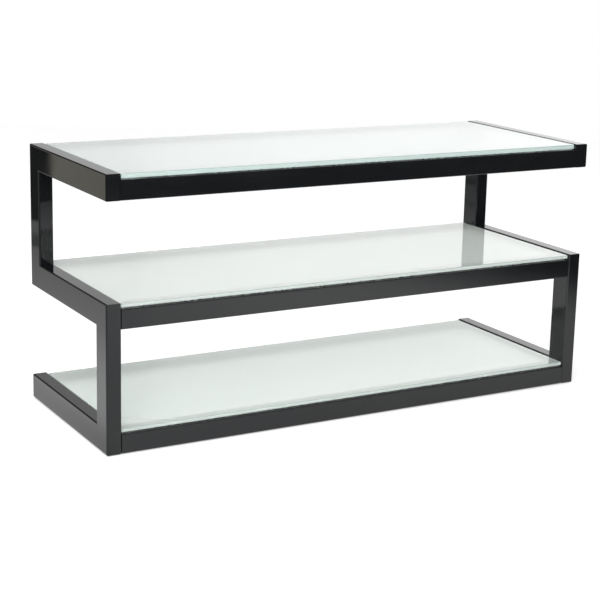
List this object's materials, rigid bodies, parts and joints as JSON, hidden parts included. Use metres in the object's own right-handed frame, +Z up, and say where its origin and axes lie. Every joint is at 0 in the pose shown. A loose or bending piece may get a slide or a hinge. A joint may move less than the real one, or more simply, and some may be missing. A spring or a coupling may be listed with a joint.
{
  "type": "audio equipment rack",
  "caption": "Low wide rack for audio equipment: S-shaped black steel side frames joined by cross-bars, with frosted glass shelves lying on the bars between the arms.",
  "frame": {"origin": "on the floor, at the middle of the rack's footprint", "axes": "+Z up, +X towards the right end as seen from the front, +Y towards the back: the front faces -Y"},
  "size_m": [1.1, 0.4, 0.532],
  "materials": {
    "frame_lacquer": "gloss black lacquer",
    "bar_lacquer": "gloss black lacquer",
    "plug_plastic": "gloss black, flush with the tube's end",
    "spigot_steel": "satin black primer",
    "screw_zinc": "bright zinc plate",
    "strip_rubber": "clear soft strip",
    "shelf_glass": "polished on top, frosted below, pale green at the edge",
    "glide_felt": "dark felt"
  },
  "bodies": {
    "root": {"top_arm_left": "frame_lacquer", "rear_post_left": "frame_lacquer", "middle_arm_left": "frame_lacquer", "front_post_left": "frame_lacquer", "bottom_arm_left": "frame_lacquer", "top_arm_plug_left": "plug_plastic", "bottom_arm_plug_left": "plug_plastic", "front_glide_left": "glide_felt", "rear_glide_left": "glide_felt", "top_arm_right": "frame_lacquer", "rear_post_right": "frame_lacquer", "middle_arm_right": "frame_lacquer", "front_post_right": "frame_lacquer", "bottom_arm_right": "frame_lacquer", "top_arm_plug_right": "plug_plastic", "bottom_arm_plug_right": "plug_plastic", "front_glide_right": "glide_felt", "rear_glide_right": "glide_felt", "bottom_front_bar": "bar_lacquer", "bottom_front_spigot_left": "spigot_steel", "bottom_front_screw_left": "screw_zinc", "bottom_front_spigot_right": "spigot_steel", "bottom_front_screw_right": "screw_zinc", "bottom_front_strip": "strip_rubber", "bottom_rear_bar": "bar_lacquer", "bottom_rear_spigot_left": "spigot_steel", "bottom_rear_screw_left": "screw_zinc", "bottom_rear_spigot_right": "spigot_steel", "bottom_rear_screw_right": "screw_zinc", "bottom_rear_strip": "strip_rubber", "bottom_glass": "shelf_glass", "middle_front_bar": "bar_lacquer", "middle_front_spigot_left": "spigot_steel", "middle_front_screw_left": "screw_zinc", "middle_front_spigot_right": "spigot_steel", "middle_front_screw_right": "screw_zinc", "middle_front_strip": "strip_rubber", "middle_rear_bar": "bar_lacquer", "middle_rear_spigot_left": "spigot_steel", "middle_rear_screw_left": "screw_zinc", "middle_rear_spigot_right": "spigot_steel", "middle_rear_screw_right": "screw_zinc", "middle_rear_strip": "strip_rubber", "middle_glass": "shelf_glass", "top_front_bar": "bar_lacquer", "top_front_spigot_left": "spigot_steel", "top_front_screw_left": "screw_zinc", "top_front_spigot_right": "spigot_steel", "top_front_screw_right": "screw_zinc", "top_front_strip": "strip_rubber", "top_rear_bar": "bar_lacquer", "top_rear_spigot_left": "spigot_steel", "top_rear_screw_left": "screw_zinc", "top_rear_spigot_right": "spigot_steel", "top_rear_screw_right": "screw_zinc", "top_rear_strip": "strip_rubber", "top_glass": "shelf_glass"}
  },
  "joints": []
}
